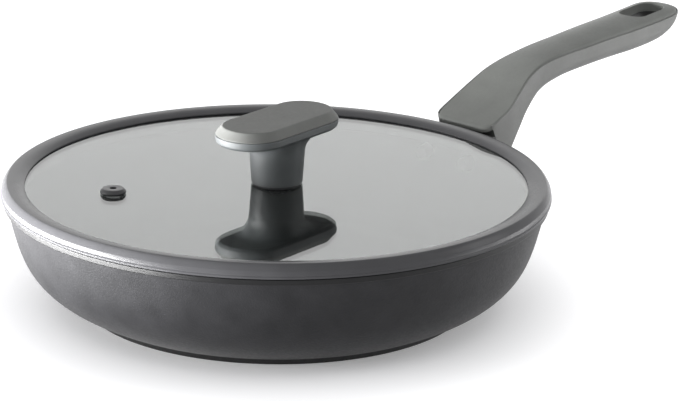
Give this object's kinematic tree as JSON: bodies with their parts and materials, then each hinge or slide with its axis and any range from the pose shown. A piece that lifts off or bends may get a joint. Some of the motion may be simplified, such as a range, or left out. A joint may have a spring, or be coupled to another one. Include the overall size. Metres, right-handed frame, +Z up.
{
  "type": "frying pan",
  "caption": "Frying pan with curved sides, a raised stay-cool handle with a hanging slot, and a flat glass lid with a silicone rim, a steam vent and an oval knob.",
  "frame": {"origin": "centre of the foot's flat face, on the hob", "axes": "+Z up along the pan's axis, +X along the handle from the pan to its tip, +Y to the left of the handle seen from its tip"},
  "size_m": [0.4785, 0.29, 0.1062],
  "materials": {
    "coated_aluminium": "fine-grained matte dark grey coating on cast aluminium",
    "base_steel": "brushed ferritic steel disc with rings of holes",
    "bracket_black": "black coated casting",
    "rivet_aluminium": "turned aluminium",
    "handle_shell": "fine matte moulded grey",
    "handle_soft": "soft-touch warm grey",
    "screw_steel": "stainless steel",
    "silicone_grey": "smooth satin silicone",
    "tempered_glass": "clear polished tempered glass",
    "silicone_dark": "dark silicone",
    "knob_shell": "satin moulded grey",
    "knob_soft": "soft-touch warm grey",
    "insert_brass": "turned brass"
  },
  "bodies": {
    "pan": {"pan_body": "coated_aluminium", "induction_plate": "base_steel", "handle_bracket": "bracket_black", "bracket_rivets": "rivet_aluminium", "handle_body": "handle_shell", "handle_cover": "handle_soft", "handle_screw": "screw_steel", "handle_washer": "screw_steel"},
    "lid": {"lid_ring": "silicone_grey", "glass_disc": "tempered_glass", "vent_grommet": "silicone_dark", "knob_body": "knob_shell", "knob_cap": "knob_soft", "knob_gasket": "silicone_dark", "knob_insert": "insert_brass", "under_gasket": "silicone_dark", "knob_washer": "screw_steel", "knob_screw": "screw_steel"}
  },
  "joints": [
    {"name": "lid_lift", "type": "slide", "parent": "pan", "child": "lid", "axis": [0, 0, 1], "range_m": [0, 0.1]}
  ]
}
